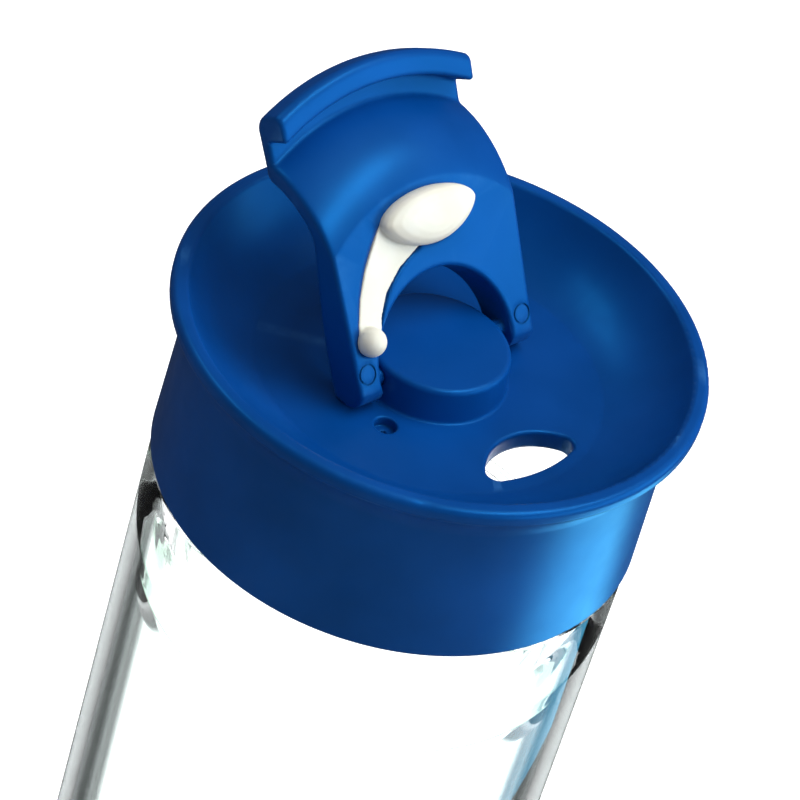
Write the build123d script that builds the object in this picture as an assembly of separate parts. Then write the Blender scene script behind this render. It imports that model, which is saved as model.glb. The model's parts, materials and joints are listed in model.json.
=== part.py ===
from build123d import *
from math import cos, pi, radians, sin, sqrt
import os

# Flip-top drinking bottle: a glass liner in a clear plastic shell, with a screw lid
# and a screw-in base. Millimetres. The origin is the centre of the foot, +Z runs up
# the bottle, the mouth hole faces -Y and the flip lever's hinge lies along X.

# ---- overall ----
RIM_Z = 240.0             # height of the lid's rim
RIM_R = 38.0              # outer radius of the lid's rim
OVERRUN = 2.0             # how far a cut runs past what it cuts

# ---- lid: dish ----
FLOOR_Z = RIM_Z - 8.8     # top of the dish floor
FLOOR_T = 2.8
DISH_CENTRE_R = 19.9      # the dish wall is an arc about this circle
DISH_CENTRE_Z = RIM_Z + 8.4
DISH_R = 17.9
RIM_INNER_ROUND = 0.8
RIM_OUTER_ROUND = 1.0
RIM_LOWER_ROUND = 0.7
DISH_FLOOR_ROUND = 2.0    # where the dish wall meets the floor

# ---- lid: skirt ----
RIM_EDGE_H = 2.2          # straight outer edge of the rim
FLARE_Z = RIM_Z - 7.0     # lower end of the flare under the rim
FLARE_MIDDLE_OUT = 0.85   # a point on the flare, from its lower end
FLARE_MIDDLE_UP = 2.9
SKIRT_TOP_R = 34.8
SKIRT_BOTTOM_R = 35.4
SKIRT_BOTTOM_Z = RIM_Z - 29.5
SKIRT_INNER_R = 33.0
SKIRT_BOTTOM_ROUND = 0.5
WALL_T = 2.2

# ---- lid: gasket seat under the floor ----
SEAT_INNER_R = 24.9       # outer face of the rib inside the glass neck
SEAT_OUTER_R = 28.7       # inner face of the rib outside the glass neck
SEAT_RIB_T = 1.2
SEAT_INNER_RIB_H = 3.5
SEAT_OUTER_RIB_H = 3.0
GASKET_T = 1.5
GASKET_SIDE_GAP = 0.3
GASKET_TOP_GAP = 0.15

# ---- lid: boss and hinge ----
BOSS_TOP_Z = RIM_Z - 3.4
BOSS_TOP_R = 10.5
BOSS_BASE_R = 11.0
BOSS_TOP_ROUND = 0.8
BOSS_BASE_ROUND = 0.4
BOSS_HOLLOW_R = 6.4
BOSS_HOLLOW_TOP_Z = BOSS_TOP_Z - 2.0
HINGE_Z = RIM_Z - 5.6
PIN_R = 1.3
PIN_CLEARANCE = 0.08
PIN_END_X = 8.2           # the stub's free end
SOCKET_END_X = 7.6        # the socket's closed end

# ---- lid: mouth hole and vent ----
MOUTH_OUTER_R = 22.8      # edge towards the rim, an arc about the lid's axis
MOUTH_INNER_ARC_R = 9.6   # edge towards the boss
MOUTH_ARC_CENTRE_Y = -25.3
MOUTH_CORNER_R = 1.6
MOUTH_X = 1.2             # the hole's middle is a little to one side
MOUTH_EDGE_ROUND = 0.5
VENT_X = -13.2
VENT_Y = -5.9
VENT_R = 1.6
VENT_DEPTH = 1.5          # the recess that the vent plug enters
VENT_EDGE_ROUND = 0.3
VENT_PORT_R = 0.45        # small hole on through the floor

# ---- flip lever, drawn closed ----
OPEN_ANGLE = 124.0
LEVER_GAP = 0.4           # between the closed lever and the dish
LEVER_TOP_Z = RIM_Z - 2.4
LEVER_SLOPE_R = 16.0      # the upper face starts to fall here
LEVER_DIP_Z = RIM_Z - 5.0     # lowest part of the upper face
LEVER_WALL = 2.5          # thickness where the lever follows the dish wall
LEVER_LEG_HALF_W = 16.1   # half width at the hinge
LEVER_TIP_HALF_W = 17.7   # half width at the rim
LEVER_LEG_END = 5.0       # the strip is drawn this far past the hinge
ARCH_R = 12.3             # cut-out around the boss
HEEL_R = 3.0              # rounded leg ends, about the hinge
LEVER_SLOPE_ROUND = 8.0
LEVER_DIP_ROUND = 4.0
LEVER_EDGE_ROUND = 0.5
LIP_UNDER_Z = RIM_Z + 0.3
LIP_TOP_Z = RIM_Z + 2.0
LIP_R = 41.9              # outer face of the lip
HOOK_R = 38.3             # inner face of the lip's hook, outside the rim
HOOK_Z = RIM_Z - 3.4      # bottom of the hook
LIP_UPPER_ROUND = 2.2
LIP_INNER_ROUND = 1.5
LIP_UNDER_ROUND = 0.7
LIP_CORNER_ROUND = 1.6
HOOK_OUTER_ROUND = 1.3
HOOK_INNER_ROUND = 0.4
HOOK_ROOT_ROUND = 0.3
EJECTOR_R = 1.5
EJECTOR_GROOVE_W = 0.25
EJECTOR_DEPTH = 0.25
EJECTOR_X = 14.5
EJECTOR_Y = -1.6

# ---- silicone seal in the lever ----
SEAL_DEPTH = 1.2          # how far the seal is let into the lever
PLUG_GAP = 0.2            # between the plug's foot and the mouth hole
PLUG_TAPER = 0.5
PLUG_PROUD = 3.0
PLUG_ROUND = 1.2
BUTTON_R = 2.1            # flat button under the end of the strip
BUTTON_H = 0.25
NUB_R = 1.2               # the part of the vent plug that enters the vent
NUB_PROUD = 1.5           # below the lever's underside
NUB_ROUND = 0.6
STRIP_END_R = 2.0
STRIP_OUTER = [(-14.6, -7.2), (-12.7, -14.0), (-8.0, -20.8)]    # edge away from the boss
STRIP_INNER = [(-1.2, -16.0), (-7.0, -12.8), (-10.6, -7.2)]     # edge beside the arch

# ---- thread shared by the lid and the shell's neck ----
LID_LEAD = 4.0
LID_TURNS = 1.5
NECK_ROOT_R = 31.4
NECK_THREAD_Z = 216.0
TOOTH_H = 1.2
TOOTH_BASE = 1.5
TOOTH_CREST = 0.7
TOOTH_SINK = 0.3          # how far a tooth is sunk into its wall

# ---- clear shell ----
SHELL_R = 35.0
SHELL_INNER_R = 33.0
SHELL_LEDGE_Z = SKIRT_BOTTOM_Z - 0.4
SHELL_NECK_TOP_Z = 225.4
SHELL_BOTTOM_Z = 10.4
COLLAR_INNER_R = 28.3
COLLAR_BOTTOM_Z = 195.0
COLLAR_ROUND = 1.5
COLLAR_BORE_ROUND = 1.0
SHELL_EDGE_ROUND = 0.5

# ---- glass liner ----
GLASS_R = 32.2
GLASS_T = 2.2
GLASS_NECK_R = 27.8
GLASS_NECK_T = 2.4
GLASS_TOP_Z = 226.6
GLASS_SHOULDER_Z = 187.5
GLASS_BOTTOM_Z = 24.0
GLASS_SHOULDER_ROUND = 2.6
GLASS_NECK_ROUND = 1.6
GLASS_HEEL_ROUND = 5.0
GLASS_LIP_ROUND = 1.0
GLASS_BASE_T = 4.0

# ---- shoulder ring ----
RING_OUTER_R = 32.4
RING_BOTTOM_Z = GLASS_SHOULDER_Z + 0.2
RING_TOP_Z = COLLAR_BOTTOM_Z - 0.2
RING_ROUND = 1.6
RING_CORNER_ROUND = 1.8
RING_GAP = 0.3            # between the ring and the glass neck

# ---- base cap ----
BASE_R = 35.4
BASE_BOTTOM_Z = 1.0
BASE_FLANGE_Z = 10.0
BASE_HEEL_ROUND = 1.1
BASE_EDGE_ROUND = 0.5
BASE_DECK_ROUND = 0.8
BASE_INNER_ROUND = 1.0
BASE_HOLLOW_R = 31.5
BASE_STEP_Z = 7.5
BASE_PLUG_R = 31.9
BASE_ROOT_R = 31.2
BASE_ROOT_Z = 14.0
BASE_ROOT_SLOPE_H = 0.7
BASE_DECK_Z = 21.0
BASE_DECK_T = 2.5
BASE_PLUG_INNER_R = 28.7
BASE_LEAD = 3.0
BASE_TURNS = 1.0
SHELL_THREAD_Z = 15.4
BASE_GRIP_COUNT = 24
BASE_GRIP_R = 1.6
BASE_GRIP_DEPTH = 0.4
BASE_GRIP_MARGIN = 1.8    # from each end of a grip groove to the flange's edge

# ---- base seal ring, cushion and foot ----
ORING_R = 31.75
ORING_SECTION_R = 0.95
ORING_Z = 12.2
ORING_GROOVE_R = 30.5
ORING_GROOVE_W = 2.5
CUSHION_R = 27.0
CUSHION_T = 2.7
CUSHION_DIMPLE_R = 14.0
CUSHION_DIMPLE_DEPTH = 0.8
CUSHION_ROUND = 0.8
FOOT_INNER_R = 32.2
FOOT_OUTER_R = 34.1
FOOT_H = 2.2
FOOT_SLOT_GAP = 0.02
FOOT_ROUND = 0.5


def revolved(face):
    """Turn a face, drawn as radius along X and height along Z, about the Z axis."""
    return revolve(face, axis=Axis.Z, revolution_arc=360)


def profile(points):
    """A straight-sided face in the XZ plane."""
    return make_face(Plane.XZ * Polyline(*points, close=True))


def rounded(face, corners):
    """Round a face's corners, each given as (x, z, radius)."""
    for x, z, radius in corners:
        face = fillet(face.vertices().sort_by_distance((x, 0, z))[0], radius)
    return face


def ring(inner_r, outer_r, bottom_z, top_z):
    points = [(inner_r, bottom_z), (outer_r, bottom_z), (outer_r, top_z), (inner_r, top_z)]
    return profile(points)


def thread(root_r, z, lead, turns, inward=False):
    """One helical tooth on a wall of radius root_r, pointing away from that wall."""
    way = -1 if inward else 1
    base_x = root_r - way * TOOTH_SINK
    crest_x = root_r + way * TOOTH_H
    tooth = Plane.XZ * Polyline(
        (base_x, z - TOOTH_BASE / 2),
        (crest_x, z - TOOTH_CREST / 2),
        (crest_x, z + TOOTH_CREST / 2),
        (base_x, z + TOOTH_BASE / 2),
        close=True,
    )
    path = Helix(pitch=lead, height=lead * turns, radius=root_r, center=(0, 0, z))
    return sweep(make_face(tooth), path=path, is_frenet=True)


def arc_height(radius, arc_r):
    """Height, at a distance from the axis, of an arc about the dish's centre circle."""
    return DISH_CENTRE_Z - sqrt(arc_r**2 - (radius - DISH_CENTRE_R) ** 2)


def arc_reach(z, arc_r):
    """Distance from the axis, at a height, of an arc about the dish's centre circle."""
    return DISH_CENTRE_R + sqrt(arc_r**2 - (DISH_CENTRE_Z - z) ** 2)


def dish_arc(start_r, end_r, arc_r):
    """An arc about the dish's centre circle, between two distances from the axis."""
    middle_r = (start_r + end_r) / 2
    return ThreePointArc(*[(r, arc_height(r, arc_r)) for r in (start_r, middle_r, end_r)])


def mouth_outline(gap):
    """Mouth hole outline, drawn smaller by a gap all round."""
    outer = Pos(MOUTH_X, 0) * Circle(MOUTH_OUTER_R - gap)
    inner = Pos(MOUTH_X, MOUTH_ARC_CENTRE_Y) * Circle(MOUTH_INNER_ARC_R - gap)
    lens = outer & inner
    return fillet(lens.vertices(), MOUTH_CORNER_R - gap / 2)


# ------------------------------------------------------------------ lid
def lid_shell():
    floor_under_z = FLOOR_Z - FLOOR_T
    floor_r = arc_reach(FLOOR_Z, DISH_R)
    rim_r = arc_reach(RIM_Z, DISH_R)
    under_r = DISH_R + WALL_T
    rib_r = SEAT_OUTER_R + SEAT_RIB_T
    rib_z = floor_under_z - SEAT_OUTER_RIB_H
    inner_rib_r = SEAT_INNER_R - SEAT_RIB_T
    inner_rib_z = floor_under_z - SEAT_INNER_RIB_H
    flare_top = (RIM_R, RIM_Z - RIM_EDGE_H)
    flare_middle = (SKIRT_TOP_R + FLARE_MIDDLE_OUT, FLARE_Z + FLARE_MIDDLE_UP)
    outline = [
        Line((0, FLOOR_Z), (floor_r, FLOOR_Z)),
        dish_arc(floor_r, rim_r, DISH_R),
        Polyline((rim_r, RIM_Z), (RIM_R, RIM_Z), flare_top),
        ThreePointArc(flare_top, flare_middle, (SKIRT_TOP_R, FLARE_Z)),
        Polyline(
            (SKIRT_TOP_R, FLARE_Z),
            (SKIRT_BOTTOM_R, SKIRT_BOTTOM_Z),
            (SKIRT_INNER_R, SKIRT_BOTTOM_Z),
            (SKIRT_INNER_R, arc_height(SKIRT_INNER_R, under_r)),
        ),
        dish_arc(SKIRT_INNER_R, rib_r, under_r),
        Polyline(
            (rib_r, arc_height(rib_r, under_r)),
            (rib_r, rib_z),
            (SEAT_OUTER_R, rib_z),
            (SEAT_OUTER_R, floor_under_z),
            (SEAT_INNER_R, floor_under_z),
            (SEAT_INNER_R, inner_rib_z),
            (inner_rib_r, inner_rib_z),
            (inner_rib_r, floor_under_z),
            (0, floor_under_z),
            (0, FLOOR_Z),
        ),
    ]
    face = make_face(Plane.XZ * (Curve() + outline))
    corners = [
        (rim_r, RIM_Z, RIM_INNER_ROUND),
        (RIM_R, RIM_Z, RIM_OUTER_ROUND),
        (*flare_top, RIM_LOWER_ROUND),
        (SKIRT_BOTTOM_R, SKIRT_BOTTOM_Z, SKIRT_BOTTOM_ROUND),
        (floor_r, FLOOR_Z, DISH_FLOOR_ROUND),
    ]
    return revolved(rounded(face, corners))


def boss():
    face = profile([(0, FLOOR_Z - 1), (BOSS_BASE_R, FLOOR_Z - 1), (BOSS_BASE_R, FLOOR_Z),
                    (BOSS_TOP_R, BOSS_TOP_Z), (0, BOSS_TOP_Z)])
    return revolved(rounded(face, [(BOSS_TOP_R, BOSS_TOP_Z, BOSS_TOP_ROUND)]))


def at_floor(edge):
    return abs(edge.center().Z - FLOOR_Z) < 0.01


def lid_body():
    lid = lid_shell() + boss()
    foot = lid.edges().filter_by(
        lambda e: at_floor(e) and abs(e.length - 2 * pi * BOSS_BASE_R) < 0.01)
    lid = fillet(foot, BOSS_BASE_ROUND)
    hollow_h = BOSS_HOLLOW_TOP_Z - (FLOOR_Z - FLOOR_T)
    lid -= Pos(0, 0, FLOOR_Z - FLOOR_T + hollow_h / 2) * Cylinder(BOSS_HOLLOW_R, hollow_h)
    depth = BOSS_BASE_R + OVERRUN - SOCKET_END_X
    for side in (-1, 1):
        middle_x = side * (SOCKET_END_X + depth / 2)
        lid -= Pos(middle_x, 0, HINGE_Z) * Rot(0, 90, 0) * Cylinder(PIN_R + PIN_CLEARANCE, depth)
    lid = cut_mouth_and_vent(lid)
    start_z = NECK_THREAD_Z - LID_LEAD / 2
    return lid + thread(SKIRT_INNER_R, start_z, LID_LEAD, LID_TURNS, inward=True)


def cut_mouth_and_vent(lid):
    """Cut both holes through the floor and ease their upper edges."""
    lid -= extrude(Pos(0, 0, FLOOR_Z - FLOOR_T - OVERRUN) * mouth_outline(0), FLOOR_T + 2 * OVERRUN)
    over_vent = Pos(VENT_X, VENT_Y, FLOOR_Z)
    lid -= over_vent * Cylinder(VENT_R, 2 * VENT_DEPTH)
    lid -= over_vent * Cylinder(VENT_PORT_R, 2 * FLOOR_T + OVERRUN)
    vent = lid.edges().filter_by(
        lambda e: at_floor(e) and abs(e.length - 2 * pi * VENT_R) < 0.01)
    lid = fillet(vent, VENT_EDGE_ROUND)
    mouth = lid.edges().filter_by(
        lambda e: at_floor(e) and e.center().Y < -BOSS_BASE_R - 1 and e.length < MOUTH_OUTER_R)
    return fillet(mouth, MOUTH_EDGE_ROUND)


# ---------------------------------------------------------- flip lever
def lever_section():
    """Half section of the closed lever, as if it went all the way round."""
    under_arc_r = DISH_R - LEVER_GAP
    top_arc_r = under_arc_r - LEVER_WALL
    under_z = FLOOR_Z + LEVER_GAP
    flat_r = arc_reach(under_z, under_arc_r)
    lip_r = arc_reach(LIP_UNDER_Z, under_arc_r)
    top_r = arc_reach(LIP_TOP_Z, top_arc_r)
    dip_r = arc_reach(LEVER_DIP_Z, top_arc_r)
    outline = [
        Line((0, under_z), (flat_r, under_z)),
        dish_arc(flat_r, lip_r, under_arc_r),
        Polyline((lip_r, LIP_UNDER_Z), (HOOK_R, LIP_UNDER_Z), (HOOK_R, HOOK_Z),
                 (LIP_R, HOOK_Z), (LIP_R, LIP_TOP_Z), (top_r, LIP_TOP_Z)),
        dish_arc(top_r, dip_r, top_arc_r),
        Polyline((dip_r, LEVER_DIP_Z), (LEVER_SLOPE_R, LEVER_TOP_Z), (0, LEVER_TOP_Z),
                 (0, under_z)),
    ]
    face = make_face(Plane.XZ * (Curve() + outline))
    corners = [
        (lip_r, LIP_UNDER_Z, LIP_UNDER_ROUND),
        (HOOK_R, LIP_UNDER_Z, HOOK_ROOT_ROUND),
        (HOOK_R, HOOK_Z, HOOK_INNER_ROUND),
        (LIP_R, HOOK_Z, HOOK_OUTER_ROUND),
        (LIP_R, LIP_TOP_Z, LIP_UPPER_ROUND),
        (top_r, LIP_TOP_Z, LIP_INNER_ROUND),
        (dip_r, LEVER_DIP_Z, LEVER_DIP_ROUND),
        (LEVER_SLOPE_R, LEVER_TOP_Z, LEVER_SLOPE_ROUND),
    ]
    return rounded(face, corners)


def lever_plan():
    """Outline of the closed lever from above: a strip with a curved far end."""
    strip = make_face(Polyline(
        (-LEVER_LEG_HALF_W, LEVER_LEG_END),
        (LEVER_LEG_HALF_W, LEVER_LEG_END),
        (LEVER_TIP_HALF_W, -LIP_R),
        (-LEVER_TIP_HALF_W, -LIP_R),
        close=True,
    ))
    plan = strip & Circle(LIP_R + 0.01)
    return fillet(plan.vertices().group_by(Axis.Y)[0], LIP_CORNER_ROUND)


def lever_side():
    """Side view that shapes the leg ends: round, with a flat heel that stops the lever."""
    heel_angle = OPEN_ANGLE - 90
    top = LEVER_TOP_Z - HINGE_Z
    touch = Vector(HEEL_R, 0).rotate(Axis.Z, heel_angle)
    corner_y = (HEEL_R - top * sin(radians(heel_angle))) / cos(radians(heel_angle))
    heel = make_face(Polyline((0, 0), touch, (corner_y, top), (0, top), close=True))
    front = Pos(-LIP_R, 0) * Rectangle(2 * LIP_R, 2 * LIP_R)
    return front + Circle(HEEL_R) + heel


def flip_cap_closed():
    lever = revolved(lever_section())
    lever &= extrude(Pos(0, 0, FLOOR_Z) * lever_plan(), 30)
    lever -= Pos(0, 0, FLOOR_Z) * Cylinder(ARCH_R, 60)
    side = Pos(-LIP_R, 0, HINGE_Z) * extrude(Plane.YZ * lever_side(), 2 * LIP_R)
    lever &= side
    lever = ease_lever(lever)
    for side_way in (-1, 1):
        lever += hinge_stub(side_way)
        lever -= Pos(side_way * EJECTOR_X, EJECTOR_Y, 0) * ejector_groove()
    return lever - seal_recess()


def ejector_groove():
    """A thin round groove that an ejector pin leaves in the lever's underside."""
    under_z = FLOOR_Z + LEVER_GAP
    inner_r = EJECTOR_R - EJECTOR_GROOVE_W
    return revolved(ring(inner_r, EJECTOR_R, under_z - EJECTOR_DEPTH, under_z + EJECTOR_DEPTH))


def ease_lever(lever):
    """Round the strip's long sides and the edges of the arch."""
    return fillet(lever.edges().filter_by(on_side_or_arch), LEVER_EDGE_ROUND)


def on_side_or_arch(edge):
    centre = edge.center()
    on_side = LEVER_LEG_HALF_W - 0.2 < abs(centre.X) < LEVER_TIP_HALF_W
    along = abs(edge.tangent_at(0.5).X) < 0.3 and edge.length > 5
    on_arch = abs(centre.X) < 0.1 and abs(centre.Y + ARCH_R) < 0.1
    return (on_side and along) or on_arch


def hinge_stub(side):
    """A round stub on the inner face of one leg, which turns in the boss's socket."""
    inside_leg = ARCH_R + 1
    length = inside_leg - PIN_END_X
    stub = Pos(side * (PIN_END_X + length / 2), 0, HINGE_Z) * Rot(0, 90, 0)
    return stub * Cylinder(PIN_R, length)


def seal_outline():
    """The seal's footprint: mouth plug, curved strip and round end under the vent plug."""
    outer_edge = ThreePointArc(*STRIP_OUTER)
    inner_edge = ThreePointArc(*STRIP_INNER)
    strip = make_face([
        outer_edge,
        Line(outer_edge @ 1, inner_edge @ 0),
        inner_edge,
        Line(inner_edge @ 1, outer_edge @ 0),
    ])
    end = Pos(VENT_X, VENT_Y) * Circle(STRIP_END_R)
    return strip + end + mouth_outline(PLUG_GAP)


def seal_recess():
    """The pocket that the seal is moulded into, open below."""
    start_z = FLOOR_Z + LEVER_GAP - OVERRUN
    return extrude(Pos(0, 0, start_z) * seal_outline(), OVERRUN + SEAL_DEPTH)


def flip_seal_closed():
    under_z = FLOOR_Z + LEVER_GAP
    seal = extrude(Pos(0, 0, under_z) * seal_outline(), SEAL_DEPTH)
    foot = Pos(0, 0, under_z + SEAL_DEPTH / 2) * mouth_outline(PLUG_GAP)
    tip = Pos(0, 0, under_z - PLUG_PROUD) * mouth_outline(PLUG_GAP + PLUG_TAPER)
    plug = loft([foot, tip])
    lowest = plug.edges().group_by(Axis.Z)[0]
    seal += fillet(lowest, PLUG_ROUND)
    button = ring(0, BUTTON_R, under_z - BUTTON_H, under_z)
    nub = profile([(0, under_z - NUB_PROUD), (NUB_R, under_z - NUB_PROUD), (NUB_R, under_z),
                   (0, under_z)])
    nub = rounded(nub, [(NUB_R, under_z - NUB_PROUD, NUB_ROUND)])
    return seal + Pos(VENT_X, VENT_Y) * revolved(button + nub)


def opened(piece):
    """Turn a piece of the closed lever about the hinge to its open position."""
    to_hinge = Pos(0, 0, HINGE_Z)
    return to_hinge * Rot(-OPEN_ANGLE, 0, 0) * to_hinge.inverse() * piece


# ------------------------------------------------------- bottle
def lid_gasket():
    top_z = FLOOR_Z - FLOOR_T - GASKET_TOP_GAP
    inner_r = SEAT_INNER_R + GASKET_SIDE_GAP
    outer_r = SEAT_OUTER_R - GASKET_SIDE_GAP
    return revolved(ring(inner_r, outer_r, top_z - GASKET_T, top_z))


def outer_shell():
    face = profile([
        (SHELL_INNER_R, SHELL_BOTTOM_Z),
        (SHELL_R, SHELL_BOTTOM_Z),
        (SHELL_R, SHELL_LEDGE_Z),
        (NECK_ROOT_R, SHELL_LEDGE_Z),
        (NECK_ROOT_R, SHELL_NECK_TOP_Z),
        (COLLAR_INNER_R, SHELL_NECK_TOP_Z),
        (COLLAR_INNER_R, COLLAR_BOTTOM_Z),
        (SHELL_INNER_R, COLLAR_BOTTOM_Z),
    ])
    corners = [
        (SHELL_R, SHELL_LEDGE_Z, SHELL_EDGE_ROUND),
        (NECK_ROOT_R, SHELL_NECK_TOP_Z, SHELL_EDGE_ROUND),
        (COLLAR_INNER_R, COLLAR_BOTTOM_Z, COLLAR_BORE_ROUND),
        (SHELL_INNER_R, COLLAR_BOTTOM_Z, COLLAR_ROUND),
    ]
    shell = revolved(rounded(face, corners))
    shell += thread(NECK_ROOT_R, NECK_THREAD_Z, LID_LEAD, LID_TURNS)
    return shell + thread(SHELL_INNER_R, SHELL_THREAD_Z, BASE_LEAD, BASE_TURNS, inward=True)


def glass_liner():
    bore_r = GLASS_NECK_R - GLASS_NECK_T
    inner_r = GLASS_R - GLASS_T
    inner_shoulder_z = GLASS_SHOULDER_Z - GLASS_T
    inside_z = GLASS_BOTTOM_Z + GLASS_BASE_T
    face = profile([
        (0, GLASS_BOTTOM_Z),
        (GLASS_R, GLASS_BOTTOM_Z),
        (GLASS_R, GLASS_SHOULDER_Z),
        (GLASS_NECK_R, GLASS_SHOULDER_Z),
        (GLASS_NECK_R, GLASS_TOP_Z),
        (bore_r, GLASS_TOP_Z),
        (bore_r, inner_shoulder_z),
        (inner_r, inner_shoulder_z),
        (inner_r, inside_z),
        (0, inside_z),
    ])
    corners = [
        (GLASS_R, GLASS_BOTTOM_Z, GLASS_HEEL_ROUND),
        (GLASS_R, GLASS_SHOULDER_Z, GLASS_SHOULDER_ROUND),
        (GLASS_NECK_R, GLASS_SHOULDER_Z, GLASS_NECK_ROUND),
        (GLASS_NECK_R, GLASS_TOP_Z, GLASS_LIP_ROUND),
        (bore_r, GLASS_TOP_Z, GLASS_LIP_ROUND),
        (bore_r, inner_shoulder_z, GLASS_SHOULDER_ROUND),
        (inner_r, inner_shoulder_z, GLASS_NECK_ROUND),
        (inner_r, inside_z, GLASS_HEEL_ROUND - 1),
    ]
    return revolved(rounded(face, corners))


def shoulder_ring():
    inner_r = GLASS_NECK_R + RING_GAP
    face = ring(inner_r, RING_OUTER_R, RING_BOTTOM_Z, RING_TOP_Z)
    corners = [
        (inner_r, RING_BOTTOM_Z, RING_CORNER_ROUND),
        (RING_OUTER_R, RING_BOTTOM_Z, RING_ROUND),
        (RING_OUTER_R, RING_TOP_Z, RING_CORNER_ROUND),
    ]
    return revolved(rounded(face, corners))


# --------------------------------------------------------- base
def base_cap():
    slot_in = FOOT_INNER_R - FOOT_SLOT_GAP
    slot_out = FOOT_OUTER_R + FOOT_SLOT_GAP
    slot_z = FOOT_H + FOOT_SLOT_GAP
    groove_low = ORING_Z - ORING_GROOVE_W / 2
    groove_high = ORING_Z + ORING_GROOVE_W / 2
    deck_under_z = BASE_DECK_Z - BASE_DECK_T
    face = profile([
        (BASE_HOLLOW_R, BASE_BOTTOM_Z),
        (slot_in, BASE_BOTTOM_Z),
        (slot_in, slot_z),
        (slot_out, slot_z),
        (slot_out, BASE_BOTTOM_Z),
        (BASE_R, BASE_BOTTOM_Z),
        (BASE_R, BASE_FLANGE_Z),
        (BASE_PLUG_R, BASE_FLANGE_Z),
        (BASE_PLUG_R, groove_low),
        (ORING_GROOVE_R, groove_low),
        (ORING_GROOVE_R, groove_high),
        (BASE_PLUG_R, groove_high),
        (BASE_PLUG_R, BASE_ROOT_Z),
        (BASE_ROOT_R, BASE_ROOT_Z + BASE_ROOT_SLOPE_H),
        (BASE_ROOT_R, BASE_DECK_Z),
        (0, BASE_DECK_Z),
        (0, deck_under_z),
        (BASE_PLUG_INNER_R, deck_under_z),
        (BASE_PLUG_INNER_R, BASE_STEP_Z),
        (BASE_HOLLOW_R, BASE_STEP_Z),
    ])
    corners = [
        (BASE_R, BASE_BOTTOM_Z, BASE_HEEL_ROUND),
        (BASE_R, BASE_FLANGE_Z, BASE_EDGE_ROUND),
        (BASE_ROOT_R, BASE_DECK_Z, BASE_DECK_ROUND),
        (BASE_PLUG_INNER_R, deck_under_z, BASE_INNER_ROUND),
    ]
    cap = revolved(rounded(face, corners))
    grip_h = BASE_FLANGE_Z - BASE_BOTTOM_Z - 2 * BASE_GRIP_MARGIN
    grip_r = BASE_R - BASE_GRIP_DEPTH + BASE_GRIP_R
    grip_z = (BASE_BOTTOM_Z + BASE_FLANGE_Z) / 2
    groove = Pos(grip_r, 0, grip_z) * Cylinder(BASE_GRIP_R, grip_h)
    for i in range(BASE_GRIP_COUNT):
        cap -= Rot(0, 0, 360 / BASE_GRIP_COUNT * i) * groove
    start_z = SHELL_THREAD_Z + BASE_LEAD / 2
    return cap + thread(BASE_ROOT_R, start_z, BASE_LEAD, BASE_TURNS)


def base_seal_ring():
    return revolved(Plane.XZ * Pos(ORING_R, ORING_Z) * Circle(ORING_SECTION_R))


def base_cushion():
    top_z = BASE_DECK_Z + CUSHION_T
    dimple_z = top_z - CUSHION_DIMPLE_DEPTH
    face = profile([(0, BASE_DECK_Z), (CUSHION_R, BASE_DECK_Z), (CUSHION_R, top_z),
                    (CUSHION_DIMPLE_R, top_z), (CUSHION_DIMPLE_R, dimple_z), (0, dimple_z)])
    return revolved(rounded(face, [(CUSHION_R, top_z, CUSHION_ROUND)]))


def foot_ring():
    face = ring(FOOT_INNER_R, FOOT_OUTER_R, 0, FOOT_H)
    corners = [(FOOT_INNER_R, 0, FOOT_ROUND), (FOOT_OUTER_R, 0, FOOT_ROUND)]
    return revolved(rounded(face, corners))


def main():
    parts = {
        "lid_body": lid_body(),
        "flip_cap": opened(flip_cap_closed()),
        "flip_seal": opened(flip_seal_closed()),
        "lid_gasket": lid_gasket(),
        "outer_shell": outer_shell(),
        "glass_liner": glass_liner(),
        "shoulder_ring": shoulder_ring(),
        "base_cap": base_cap(),
        "base_seal_ring": base_seal_ring(),
        "base_cushion": base_cushion(),
        "foot_ring": foot_ring(),
    }
    os.makedirs("parts", exist_ok=True)
    for name, shape in parts.items():
        export_step(shape, f"parts/{name}.step")


main()
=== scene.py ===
import json
import math

import bpy
from mathutils import Matrix, Vector


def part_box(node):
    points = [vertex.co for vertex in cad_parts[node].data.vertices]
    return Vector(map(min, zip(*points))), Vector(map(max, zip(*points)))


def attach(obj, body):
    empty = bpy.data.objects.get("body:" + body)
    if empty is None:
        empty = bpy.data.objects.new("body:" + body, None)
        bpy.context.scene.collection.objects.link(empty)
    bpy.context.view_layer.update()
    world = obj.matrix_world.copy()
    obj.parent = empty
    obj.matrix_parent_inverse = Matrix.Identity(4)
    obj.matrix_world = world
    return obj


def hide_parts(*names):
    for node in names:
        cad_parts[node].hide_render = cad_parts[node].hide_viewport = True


MM = 0.001

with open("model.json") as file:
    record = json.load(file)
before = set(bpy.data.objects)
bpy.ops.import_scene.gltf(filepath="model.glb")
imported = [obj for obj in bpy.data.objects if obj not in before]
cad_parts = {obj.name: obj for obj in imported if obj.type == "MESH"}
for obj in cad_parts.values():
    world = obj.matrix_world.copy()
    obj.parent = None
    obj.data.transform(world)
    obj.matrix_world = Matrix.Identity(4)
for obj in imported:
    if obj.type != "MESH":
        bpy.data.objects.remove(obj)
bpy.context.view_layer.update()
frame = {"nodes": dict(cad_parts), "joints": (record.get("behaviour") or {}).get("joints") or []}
nodes = frame["nodes"]
rim_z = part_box("lid_body")[1].z

# ---- view ----
VIEW_AZIMUTH = -52.0
VIEW_ELEVATION = 39.7
VIEW_ROLL = 17.17
VIEW_DISTANCE = 0.5607
LENS = 183.8
AIM = Vector((-0.0076, -0.0026, -0.0092))    # from the rim's centre


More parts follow.
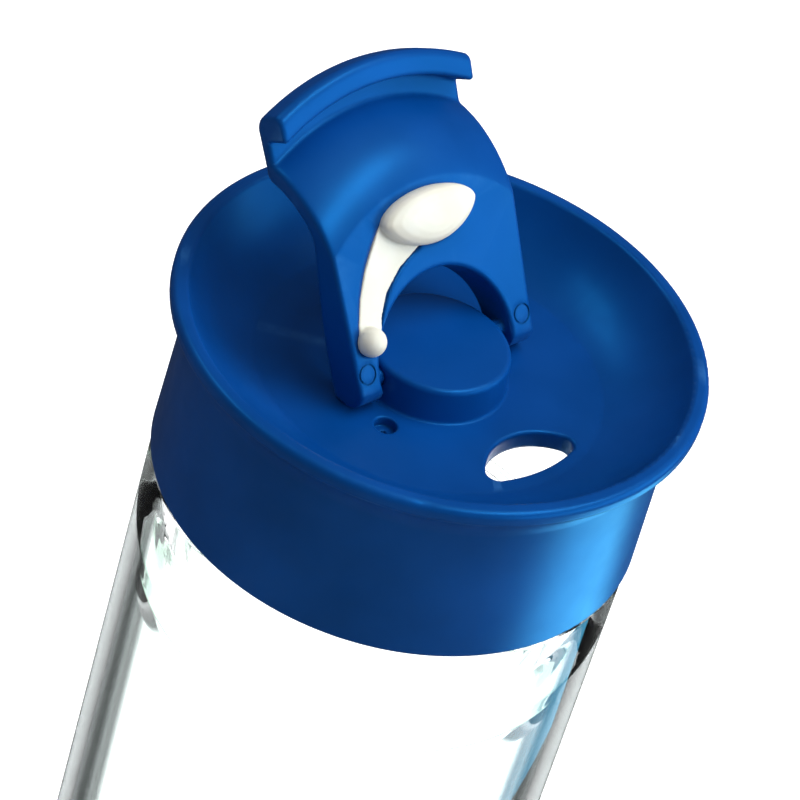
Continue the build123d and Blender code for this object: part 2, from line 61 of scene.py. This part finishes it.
def make_camera():
    azimuth = math.radians(VIEW_AZIMUTH)
    elevation = math.radians(VIEW_ELEVATION)
    roll = math.radians(VIEW_ROLL)
    flat = Vector((-math.sin(azimuth), math.cos(azimuth), 0))
    forward = flat * math.cos(elevation) - Vector((0, 0, math.sin(elevation)))
    level = forward.cross(Vector((0, 0, 1))).normalized()
    upright = level.cross(forward)
    right = level * math.cos(roll) + upright * math.sin(roll)
    up = upright * math.cos(roll) - level * math.sin(roll)
    place = Vector((0, 0, rim_z)) + AIM - forward * VIEW_DISTANCE
    data = bpy.data.cameras.new("camera")
    data.lens = LENS
    data.sensor_width = 36.0
    data.clip_start = 0.01
    data.clip_end = 50.0
    camera = bpy.data.objects.new("camera", data)
    bpy.context.scene.collection.objects.link(camera)
    turn = Matrix((right, up, -forward)).transposed().to_4x4()
    camera.matrix_world = Matrix.Translation(place) @ turn
    bpy.context.scene.camera = camera


# ---- nodes of a material, by short calls ----
class Shader:
    """A material's node tree, with one principled shader."""

    def __init__(self, name):
        self.material = bpy.data.materials.new(name)
        self.material.use_nodes = True
        self.tree = self.material.node_tree
        self.tree.nodes.clear()
        self.out = self.tree.nodes.new("ShaderNodeOutputMaterial")
        self.principled = self.tree.nodes.new("ShaderNodeBsdfPrincipled")
        self.link(self.principled.outputs[0], self.out.inputs["Surface"])
        self.place = self.tree.nodes.new("ShaderNodeTexCoord").outputs["Object"]

    def link(self, source, target):
        self.tree.links.new(source, target)

    def set(self, **values):
        for name, value in values.items():
            self.principled.inputs[name.replace("_", " ")].default_value = value
        return self

    def noise(self, scale, detail=3.0, stretch=(1, 1, 1)):
        """Fractal noise; the scale is in cells per metre."""
        mapping = self.tree.nodes.new("ShaderNodeMapping")
        mapping.inputs["Scale"].default_value = stretch
        self.link(self.place, mapping.inputs["Vector"])
        node = self.tree.nodes.new("ShaderNodeTexNoise")
        node.inputs["Scale"].default_value = scale
        node.inputs["Detail"].default_value = detail
        self.link(mapping.outputs[0], node.inputs["Vector"])
        return node.outputs["Fac"]

    def ramp(self, source, stops):
        """Colour ramp from (position, colour) stops."""
        node = self.tree.nodes.new("ShaderNodeValToRGB")
        elements = node.color_ramp.elements
        while len(elements) < len(stops):
            elements.new(0.5)
        for element, (position, colour) in zip(elements, stops):
            element.position = position
            element.color = colour
        self.link(source, node.inputs["Fac"])
        return node.outputs["Color"]

    def between(self, source, low, high):
        """Map a 0 to 1 value to a range."""
        node = self.tree.nodes.new("ShaderNodeMapRange")
        node.inputs["To Min"].default_value = low
        node.inputs["To Max"].default_value = high
        self.link(source, node.inputs["Value"])
        return node.outputs["Result"]

    def bump(self, layers, soft_edge=0):
        """Stack (height, strength, distance) layers on the normal, over softened edges."""
        previous = None
        if soft_edge:
            bevel = self.tree.nodes.new("ShaderNodeBevel")
            bevel.samples = 8
            bevel.inputs["Radius"].default_value = soft_edge
            previous = bevel.outputs["Normal"]
        for height, strength, distance in layers:
            node = self.tree.nodes.new("ShaderNodeBump")
            node.inputs["Strength"].default_value = strength
            node.inputs["Distance"].default_value = distance
            self.link(height, node.inputs["Height"])
            if previous is not None:
                self.link(previous, node.inputs["Normal"])
            previous = node.outputs["Normal"]
        self.link(previous, self.principled.inputs["Normal"])


WORN_BLUE = (0.05, 0.22, 0.55, 1)
WEAR = 0.25
BLUE_SHEEN = (0.15, 0.62, 1.0, 1)    # tints the plastic's reflections
PLASTIC_IOR = 1.49
SILICONE_IOR = 1.41
SCATTER_DEPTH = 0.0015
# The walls and the ring bend light far less than real ones, which are near 1.5.
# At a real index the collar and the ring drew dark arcs across the front.
WALL_IOR = 1.06
RING_IOR = 1.02
WHITE = (1, 1, 1, 1)
GREY_GREEN = (0.94, 1.0, 0.99)
# Painted shade on the shell's wall: its brightness by Layer Weight's facing, 0 face on and 1
# edge on, with dark bands near its edges.
PAINTED_EDGE_SHADE = [(0.655, 1.0), (0.67, 0.30), (0.69, 0.045), (0.77, 0.06), (0.83, 0.22),
              (0.90, 0.5), (1.0, 0.8)]


def edge_wear(shader, colour_source):
    """Lighten the rubbed edges, in patches. Geometry's pointiness finds the edges."""
    geometry = shader.tree.nodes.new("ShaderNodeNewGeometry")
    black = (0, 0, 0, 1)
    edge = shader.ramp(geometry.outputs["Pointiness"], [(0.53, black), (0.62, WHITE)])
    patchy = shader.tree.nodes.new("ShaderNodeMath")
    patchy.operation = "MULTIPLY"
    shader.link(edge, patchy.inputs[0])
    shader.link(shader.between(shader.noise(700, 4), 0.0, 2 * WEAR), patchy.inputs[1])
    mix = shader.tree.nodes.new("ShaderNodeMix")
    mix.data_type = "RGBA"
    shader.link(patchy.outputs[0], mix.inputs["Factor"])
    shader.link(colour_source, mix.inputs["A"])
    mix.inputs["B"].default_value = WORN_BLUE
    return mix.outputs["Result"]


def moulded_plastic(name, colour, soft_edge=0.0005):
    """Satin moulded plastic: faint mottling, fine grain, slow waves and rubbed edges."""
    shader = Shader(name)
    dark = [c * 0.86 for c in colour] + [1]
    light = [min(1, c * 1.12 + 0.001) for c in colour] + [1]
    mottle = shader.ramp(shader.noise(70, 5), [(0.3, dark), (0.7, light)])
    shader.link(edge_wear(shader, mottle), shader.principled.inputs["Base Color"])
    shader.link(shader.between(shader.noise(320, 6), 0.27, 0.41),
                shader.principled.inputs["Roughness"])
    shader.set(IOR=PLASTIC_IOR)
    shader.principled.inputs["Specular Tint"].default_value = BLUE_SHEEN
    shader.bump([
        (shader.noise(40, 2), 0.12, 0.0005),
        (shader.noise(1500, 3), 0.10, 0.00003),
    ], soft_edge)
    return shader.material


def silicone(name, colour, scatter):
    """Soft silicone: slight yellowing, matt skin and fine dust pits."""
    shader = Shader(name)
    dark = [c * f for c, f in zip(colour, (0.92, 0.91, 0.86))] + [1]
    light = list(colour) + [1]
    shader.link(shader.ramp(shader.noise(160, 4), [(0.3, dark), (0.7, light)]),
                shader.principled.inputs["Base Color"])
    shader.link(shader.between(shader.noise(500, 4), 0.42, 0.6),
                shader.principled.inputs["Roughness"])
    shader.set(Subsurface_Weight=scatter, Subsurface_Scale=SCATTER_DEPTH, IOR=SILICONE_IOR)
    shader.principled.inputs["Subsurface Radius"].default_value = (1.0, 0.9, 0.7)
    shader.bump([(shader.noise(380, 3), 0.15, 0.0002), (shader.noise(2000, 2), 0.1, 0.00003)])
    return shader.material


def clear(name, ior, painted_edge_tones):
    """Clear wall with painted shade, bands drawn by how edge-on it is, from (facing, colour)
    stops.
    """
    shader = Shader(name)
    weight = shader.tree.nodes.new("ShaderNodeLayerWeight")
    weight.inputs["Blend"].default_value = 0.5
    edge = shader.ramp(weight.outputs["Facing"], painted_edge_tones)
    tint = shader.ramp(shader.noise(30, 2), [(0.3, (0.985, 1, 0.995, 1)), (0.7, WHITE)])
    mix = shader.tree.nodes.new("ShaderNodeMix")
    mix.data_type = "RGBA"
    mix.blend_type = "MULTIPLY"
    mix.inputs["Factor"].default_value = 1
    shader.link(edge, mix.inputs["A"])
    shader.link(tint, mix.inputs["B"])
    shader.link(mix.outputs["Result"], shader.principled.inputs["Base Color"])
    shader.link(shader.between(shader.noise(220, 4), 0.0, 0.02),
                shader.principled.inputs["Roughness"])
    shader.set(IOR=ior, Transmission_Weight=1.0, Coat_Weight=0.1, Coat_Roughness=0.04)
    shader.bump([(shader.noise(18, 2, (1, 1, 0.25)), 0.04, 0.001)])
    return shader.material


def dress(node, material):
    nodes[node].data.materials.clear()
    nodes[node].data.materials.append(material)


def make_materials():
    blue = (0.0004, 0.048, 0.235)
    dress("lid_body", moulded_plastic("lid_plastic", blue))
    dress("flip_cap", moulded_plastic("lever_plastic", blue, 0.0011))
    dress("base_cap", moulded_plastic("base_plastic", blue))
    gasket = silicone("gasket_silicone", (0.80, 0.83, 0.82), 0.4)
    for node in ("lid_gasket", "base_seal_ring", "base_cushion"):
        dress(node, gasket)
    dress("foot_ring", silicone("foot_rubber", (0.03, 0.04, 0.06), 0.0))
    # Painted shade on the shell, the liner and the ring: their colour darkens where they turn
    # edge-on.
    painted_edge_tones = [(stop, [level * c for c in GREY_GREEN] + [1]) for stop, level in PAINTED_EDGE_SHADE]
    dress("outer_shell", clear("clear_shell", WALL_IOR, [(0.6, WHITE)] + painted_edge_tones))
    dress("glass_liner", clear("liner_glass", WALL_IOR, [
        (0.70, WHITE), (0.80, (0.70, 0.80, 0.77, 1)), (1.0, (0.7, 0.8, 0.77, 1))]))
    dress("shoulder_ring", clear("ring_silicone", RING_IOR, [
        (0.6, WHITE), (0.7, (0.45, 0.60, 0.50, 1)), (1.0, (0.40, 0.55, 0.45, 1))]))


# ---- silicone seal, softer and fuller than the CAD solid ----
# Drawn with the lever closed: x, y in plan and depth below the lever's underside, in mm.
UNDERSIDE_DROP = 8.4      # from the rim down to the closed lever's underside
SEAL_LET_IN = 0.8
PLUG_CENTRE = (0.2, -20.0)
PLUG_HALF = (8.4, 3.9)
PLUG_BOW = 0.6            # its ends bend away from the hinge
BALL_CENTRE = (-13.3, -5.9)
BALL_R = 2.1
BALL_DEPTH = 0.6          # of the ball's middle
BALL_LEVELS = 16
BALL_SEGMENTS = 24
STRIP_OUTER = [(-14.9, -6.2), (-14.6, -8.5), (-13.6, -12.0), (-11.9, -15.4), (-8.2, -20.6)]
STRIP_INNER = [(-10.9, -6.2), (-10.4, -8.6), (-8.8, -11.6), (-5.8, -14.2), (-1.0, -16.6)]
STRIP_PROUD = 0.15
SOFTENING_STEPS = 6
REMESH_VOXEL = 0.16
PLUG_SEGMENTS = 72
PLUG_PROFILE = [(-SEAL_LET_IN, 0.96), (0.0, 0.98), (0.8, 1.0), (1.5, 0.98), (2.1, 0.91),
                (2.6, 0.76), (2.9, 0.55), (3.05, 0.3)]    # (depth, share of the outline)


def lofted(rings):
    """Closed mesh data through equal rings of points, with a flat face at each end."""
    count = len(rings[0])
    points = [point for ring in rings for point in ring]
    faces = []
    for level in range(len(rings) - 1):
        low, high = level * count, (level + 1) * count
        for i in range(count):
            j = (i + 1) % count
            faces.append((low + i, low + j, high + j, high + i))
    faces.append(tuple(reversed(range(count))))
    faces.append(tuple(range(len(points) - count, len(points))))
    return points, faces


def plug_rings():
    rings = []
    for depth, share in PLUG_PROFILE:
        ring = []
        for step in range(PLUG_SEGMENTS):
            angle = 2 * math.pi * step / PLUG_SEGMENTS
            along, across = math.cos(angle), math.sin(angle)
            across *= abs(across) ** 0.25
            x = PLUG_CENTRE[0] + PLUG_HALF[0] * share * along
            y = PLUG_CENTRE[1] + PLUG_HALF[1] * share * across - PLUG_BOW * along ** 2
            ring.append((x, y, -depth))
        rings.append(ring)
    return rings


def strip_rings():
    outline = STRIP_OUTER + STRIP_INNER[::-1]
    return [[(x, y, z) for x, y in outline] for z in (SEAL_LET_IN, -STRIP_PROUD)]


def ball_rings():
    rings = []
    for step in range(1, BALL_LEVELS):
        lean = math.pi * step / BALL_LEVELS
        r, z = BALL_R * math.sin(lean), -BALL_DEPTH + BALL_R * math.cos(lean)
        turns = [2 * math.pi * i / BALL_SEGMENTS for i in range(BALL_SEGMENTS)]
        rings.append([(BALL_CENTRE[0] + r * math.cos(turn),
                       BALL_CENTRE[1] + r * math.sin(turn), z) for turn in turns])
    return rings


def make_seal():
    points, faces = [], []
    for rings in (plug_rings(), strip_rings(), ball_rings()):
        part_points, part_faces = lofted(rings)
        faces += [[i + len(points) for i in face] for face in part_faces]
        points += part_points
    mesh = bpy.data.meshes.new("seal")
    mesh.from_pydata([Vector(point) * MM for point in points], [], faces)
    hinge = next(joint for joint in frame["joints"] if joint["name"] == "flip_hinge")
    place = Vector(hinge["pos_m"])
    turn = Matrix.Rotation(-math.radians(hinge["range_deg"][1]), 4, Vector(hinge["axis"]))
    open_up = Matrix.Translation(place) @ turn @ Matrix.Translation(-place)
    mesh.transform(open_up @ Matrix.Translation((0, 0, rim_z - UNDERSIDE_DROP * MM)))
    seal = bpy.data.objects.new("seal", mesh)
    bpy.context.scene.collection.objects.link(seal)
    remesh = seal.modifiers.new("union", "REMESH")
    remesh.mode = "VOXEL"
    remesh.voxel_size = REMESH_VOXEL * MM
    smooth = seal.modifiers.new("soften", "CORRECTIVE_SMOOTH")
    smooth.smooth_type = "LENGTH_WEIGHTED"
    smooth.iterations = SOFTENING_STEPS
    smooth.use_only_smooth = True
    bpy.context.view_layer.update()
    depsgraph = bpy.context.evaluated_depsgraph_get()
    done = bpy.data.meshes.new_from_object(seal.evaluated_get(depsgraph))
    seal.modifiers.clear()
    seal.data = done
    for polygon in done.polygons:
        polygon.use_smooth = True
    done.materials.clear()
    done.materials.append(silicone("plug_silicone", (0.74, 0.73, 0.65), 0.2))
    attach(seal, "lever")
    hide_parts("flip_seal")


# ---- studio ----
# The walls see a white room while the plastic reflects a dim one, so a brightness is
# given for each kind of ray, in this order.
RAY_KINDS = ("Is Camera Ray", "Is Transmission Ray", "Is Glossy Ray", "Is Diffuse Ray")
WORLD_BRIGHTNESS = (1.05, 1.0, 0.04, 0.45)
FLOOR_GLOW = (0.55, 0.55, 0.0, 0.0)
FLOOR_COLOUR_SHARE = (1.0, 1.0, 0.05, 0.8)
FLOOR_HALF = 4.0
COOL = (0.12, 0.62, 1.0)
PURE = (1, 1, 1)
# name, direction from the lid, distance in m, size in m, watts, rays it meets, colour
LIGHTS = [
    ("right_box", (0.62, -0.73, 0.28), 0.9, (0.8, 0.6), 5.5, "glossy", COOL),
    ("right_low", (0.57, -0.52, -0.64), 0.26, (0.16, 0.10), 0.35, "glossy", COOL),
    ("back_strip", (-0.2, 0.55, 0.8), 0.9, (0.5, 0.08), 2.0, "glossy", COOL),
    ("front_strip", (0.25, -0.35, 0.9), 0.9, (0.7, 0.10), 6.0, "glossy", COOL),
    ("front_low", (0.15, -0.95, 0.12), 0.9, (0.5, 0.3), 2.0, "glossy", COOL),
    ("right_fill", (0.62, -0.73, 0.28), 0.9, (0.6, 0.45), 7, "diffuse", PURE),
    ("top_soft", (0.35, -0.25, 0.9), 1.1, (0.8, 0.8), 10, "diffuse", PURE),
]


def by_ray(tree, values):
    """A number that depends on the kind of ray: camera, transmission, glossy, diffuse."""
    path = tree.nodes.new("ShaderNodeLightPath")
    total = None
    for kind, value in zip(RAY_KINDS, values):
        node = tree.nodes.new("ShaderNodeMath")
        node.operation = "MULTIPLY_ADD"
        tree.links.new(path.outputs[kind], node.inputs[0])
        node.inputs[1].default_value = value
        node.inputs[2].default_value = 0
        if total is not None:
            tree.links.new(total, node.inputs[2])
        total = node.outputs[0]
    return total


def make_floor():
    """Pale studio floor, overexposed to white as the backdrop is, and dull in reflections."""
    shader = Shader("studio_floor")
    pale = [(0.3, (0.86, 0.87, 0.88, 1)), (0.7, (0.90, 0.90, 0.91, 1))]
    dull = shader.tree.nodes.new("ShaderNodeMix")
    dull.data_type = "RGBA"
    dull.blend_type = "MULTIPLY"
    dull.inputs["Factor"].default_value = 1
    shader.link(shader.ramp(shader.noise(3, 2), pale), dull.inputs["A"])
    shader.link(by_ray(shader.tree, FLOOR_COLOUR_SHARE), dull.inputs["B"])
    shader.link(dull.outputs["Result"], shader.principled.inputs["Base Color"])
    shader.set(Roughness=0.9, Specular_IOR_Level=0.0)
    shader.principled.inputs["Emission Color"].default_value = (1, 1, 1, 1)
    shader.link(by_ray(shader.tree, FLOOR_GLOW),
                shader.principled.inputs["Emission Strength"])
    size = FLOOR_HALF
    mesh = bpy.data.meshes.new("floor")
    mesh.from_pydata([(-size, -size, 0), (size, -size, 0), (size, size, 0), (-size, size, 0)],
                     [], [(0, 1, 2, 3)])
    mesh.materials.append(shader.material)
    floor = bpy.data.objects.new("floor", mesh)
    bpy.context.scene.collection.objects.link(floor)


def area_light(name, direction, distance, size, power, kind, colour):
    """A softbox that faces the lid from a direction, for either diffuse or glossy rays."""
    data = bpy.data.lights.new(name, "AREA")
    data.shape = "RECTANGLE"
    data.size, data.size_y = size
    data.energy = power
    data.color = colour
    data.diffuse_factor = 1.0 if kind == "diffuse" else 0.0
    data.specular_factor = 1.0 if kind == "glossy" else 0.0
    light = bpy.data.objects.new(name, data)
    centre = Vector((0, 0, rim_z - 0.01))
    toward = Vector(direction).normalized()
    light.location = centre + toward * distance
    light.rotation_euler = toward.to_track_quat("Z", "Y").to_euler()
    light.visible_camera = False
    light.visible_transmission = False
    light.visible_diffuse = kind == "diffuse"
    light.visible_glossy = kind == "glossy"
    bpy.context.scene.collection.objects.link(light)


def make_world():
    """White backdrop for what the camera sees, and a dim room for what the lid reflects."""
    world = bpy.data.worlds.new("studio")
    bpy.context.scene.world = world
    world.use_nodes = True
    tree = world.node_tree
    tree.nodes.clear()
    out = tree.nodes.new("ShaderNodeOutputWorld")
    back = tree.nodes.new("ShaderNodeBackground")
    back.inputs["Color"].default_value = (1, 1, 1, 1)
    tree.links.new(by_ray(tree, WORLD_BRIGHTNESS), back.inputs["Strength"])
    tree.links.new(back.outputs[0], out.inputs["Surface"])


def make_lights():
    for light in LIGHTS:
        area_light(*light)


make_camera()
make_materials()
make_seal()
make_floor()
make_world()
make_lights()
bpy.context.scene.view_settings.view_transform = "Standard"
bpy.context.scene.cycles.max_bounces = 24
bpy.context.scene.cycles.transmission_bounces = 20
bpy.context.scene.cycles.transparent_max_bounces = 16
